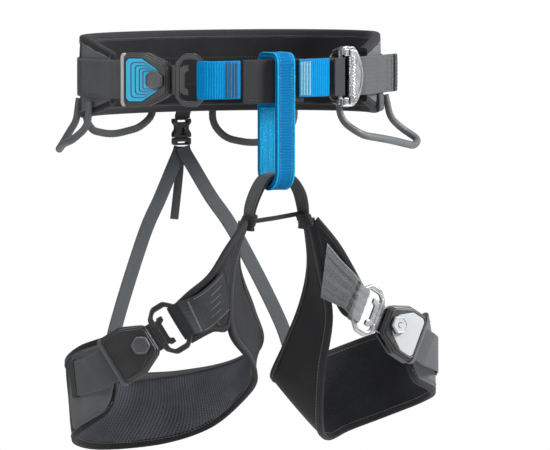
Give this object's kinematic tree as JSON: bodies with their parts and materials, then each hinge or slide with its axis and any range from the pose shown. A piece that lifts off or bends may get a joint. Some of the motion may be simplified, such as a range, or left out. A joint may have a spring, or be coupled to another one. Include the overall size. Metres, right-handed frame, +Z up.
{
  "type": "climbing harness",
  "caption": "Padded waist belt with quick-connect buckles, front belay loop, two buckled leg loops, gear loops and rear elastic risers.",
  "frame": {"origin": "on the waist's upright axis, at mid height of the waist webbing", "axes": "+Z up, -Y to the wearer's front, +X to the wearer's left"},
  "size_m": [0.424, 0.268, 0.4371],
  "materials": {
    "charcoal_cloth": "matt woven",
    "mesh_cloth": "perforated mesh",
    "edge_tape": "woven tape",
    "grey_webbing": "ribbed webbing",
    "dark_webbing": "ribbed webbing",
    "blue_webbing": "ribbed webbing",
    "black_plastic": "satin moulded",
    "blue_plastic": "satin",
    "grey_plastic": "satin",
    "steel": "brushed",
    "black_metal": "black coat",
    "loop_plastic": "moulded"
  },
  "bodies": {
    "waist": {"adjuster_frame": "steel", "adjuster_plate": "black_plastic", "adjuster_strap": "dark_webbing", "bridge_inner": "dark_webbing", "bridge_outer": "grey_webbing", "cross_strap": "dark_webbing", "left_blue_tab": "blue_webbing", "left_front_gear_loop": "loop_plastic", "left_loop_anchor": "grey_webbing", "left_rear_gear_loop": "loop_plastic", "left_riser": "grey_webbing", "right_blue_tab": "blue_webbing", "right_front_gear_loop": "loop_plastic", "right_rear_gear_loop": "loop_plastic", "right_riser": "grey_webbing", "riser_plug": "black_plastic", "riser_socket": "black_plastic", "riser_tab": "dark_webbing", "riser_tail": "dark_webbing", "tie_in_strap": "dark_webbing", "waist_binding": "edge_tape", "waist_lining": "mesh_cloth", "waist_pad": "charcoal_cloth", "waist_strap_end": "dark_webbing", "waist_strap_tail": "grey_webbing", "waist_tongue_frame": "black_metal", "waist_webbing": "grey_webbing"},
    "adjuster_bar": {"adjuster_bar": "black_metal"},
    "belay_loop": {"belay_loop": "blue_webbing"},
    "left_leg": {"left_leg_binding": "edge_tape", "left_leg_lining": "mesh_cloth", "left_leg_pad": "charcoal_cloth", "left_leg_strap": "grey_webbing", "left_leg_tongue_frame": "steel", "left_yoke_pad": "charcoal_cloth", "left_yoke_webbing": "grey_webbing"},
    "left_leg_housing": {"left_leg_face_plate": "grey_plastic", "left_leg_housing_base": "black_plastic", "left_leg_housing_cover": "black_plastic"},
    "left_leg_knob": {"left_leg_knob": "black_plastic"},
    "left_leg_latch": {"left_leg_latch": "black_metal"},
    "left_prong": {"left_prong": "black_plastic"},
    "right_leg": {"right_leg_binding": "edge_tape", "right_leg_lining": "mesh_cloth", "right_leg_pad": "charcoal_cloth", "right_leg_strap": "grey_webbing", "right_leg_tongue_frame": "black_metal", "right_yoke_pad": "charcoal_cloth", "right_yoke_webbing": "grey_webbing"},
    "right_leg_housing": {"right_leg_face_plate": "black_plastic", "right_leg_housing_base": "black_plastic", "right_leg_housing_cover": "black_plastic"},
    "right_leg_knob": {"right_leg_knob": "black_plastic"},
    "right_leg_latch": {"right_leg_latch": "black_metal"},
    "right_prong": {"right_prong": "black_plastic"},
    "waist_housing": {"waist_face_plate": "blue_plastic", "waist_housing_base": "black_plastic", "waist_housing_cover": "black_plastic"},
    "waist_knob": {"waist_knob": "black_plastic"},
    "waist_latch": {"waist_latch": "black_metal"}
  },
  "joints": [
    {"name": "belay_loop_twist", "type": "hinge", "parent": "waist", "child": "belay_loop", "pos_m": [0, -0.1015, -0.0446], "axis": [0, 0, 1], "range_deg": [-5, 5]},
    {"name": "left_leg_swing", "type": "hinge", "parent": "waist", "child": "left_leg", "pos_m": [0, -0.094, -0.15], "axis": [1, 0, 0], "range_deg": [-12, 8], "stiffness_Nm_per_rad": 1.2, "springref_deg": 5.16, "deforming": ["left_riser"]},
    {"name": "right_leg_swing", "type": "hinge", "parent": "waist", "child": "right_leg", "pos_m": [0, -0.094, -0.15], "axis": [1, 0, 0], "range_deg": [-12, 8], "stiffness_Nm_per_rad": 1.2, "springref_deg": 5.16, "deforming": ["right_riser"]},
    {"name": "waist_housing_slide", "type": "slide", "parent": "waist", "child": "waist_housing", "axis": [-0.72, 0.694, 0], "range_m": [0, 0.018]},
    {"name": "waist_knob_turn", "type": "hinge", "parent": "waist_housing", "child": "waist_knob", "pos_m": [-0.1252, -0.07721, 0], "axis": [-0.694, -0.72, 0], "range_deg": [0, 60]},
    {"name": "waist_latch_slide", "type": "slide", "parent": "waist_housing", "child": "waist_latch", "axis": [-0.72, 0.694, 0], "range_m": [0, 0.0025], "stiffness_N_per_m": 40},
    {"name": "right_leg_housing_slide", "type": "slide", "parent": "right_leg", "child": "right_leg_housing", "axis": [-0.7704, 0.3717, -0.518], "range_m": [0, 0.018]},
    {"name": "right_leg_knob_turn", "type": "hinge", "parent": "right_leg_housing", "child": "right_leg_knob", "pos_m": [-0.16196, -0.11099, -0.27013], "axis": [-0.4795, -0.8732, 0.0866], "range_deg": [0, 60]},
    {"name": "right_leg_latch_slide", "type": "slide", "parent": "right_leg_housing", "child": "right_leg_latch", "axis": [-0.7704, 0.3717, -0.518], "range_m": [0, 0.0025], "stiffness_N_per_m": 40},
    {"name": "left_leg_housing_slide", "type": "slide", "parent": "left_leg", "child": "left_leg_housing", "axis": [0.8602, 0.1, -0.5001], "range_m": [0, 0.018]},
    {"name": "left_leg_knob_turn", "type": "hinge", "parent": "left_leg_housing", "child": "left_leg_knob", "pos_m": [0.12511, -0.1225, -0.2605], "axis": [0.1785, -0.9776, 0.1115], "range_deg": [0, 60]},
    {"name": "left_leg_latch_slide", "type": "slide", "parent": "left_leg_housing", "child": "left_leg_latch", "axis": [0.8602, 0.1, -0.5001], "range_m": [0, 0.0025], "stiffness_N_per_m": 40},
    {"name": "adjuster_bar_slide", "type": "slide", "parent": "waist", "child": "adjuster_bar", "axis": [0.9349, 0.355, 0], "range_m": [-0.0015, 0.0015]},
    {"name": "left_prong_bend", "type": "hinge", "parent": "waist", "child": "left_prong", "pos_m": [0.008, 0.121, -0.0717], "axis": [0, -1, 0], "range_deg": [0, 6], "stiffness_Nm_per_rad": 0.05},
    {"name": "right_prong_bend", "type": "hinge", "parent": "waist", "child": "right_prong", "pos_m": [-0.002, 0.121, -0.0717], "axis": [0, 1, 0], "range_deg": [0, 6], "stiffness_Nm_per_rad": 0.05}
  ],
  "couplings": [
    {"joint": "waist_knob_turn", "follows": "waist_latch_slide", "rad_per_m": 418.88},
    {"joint": "right_leg_knob_turn", "follows": "right_leg_latch_slide", "rad_per_m": 418.88},
    {"joint": "left_leg_knob_turn", "follows": "left_leg_latch_slide", "rad_per_m": 418.88},
    {"joint": "right_prong_bend", "follows": "left_prong_bend", "ratio": 1}
  ]
}
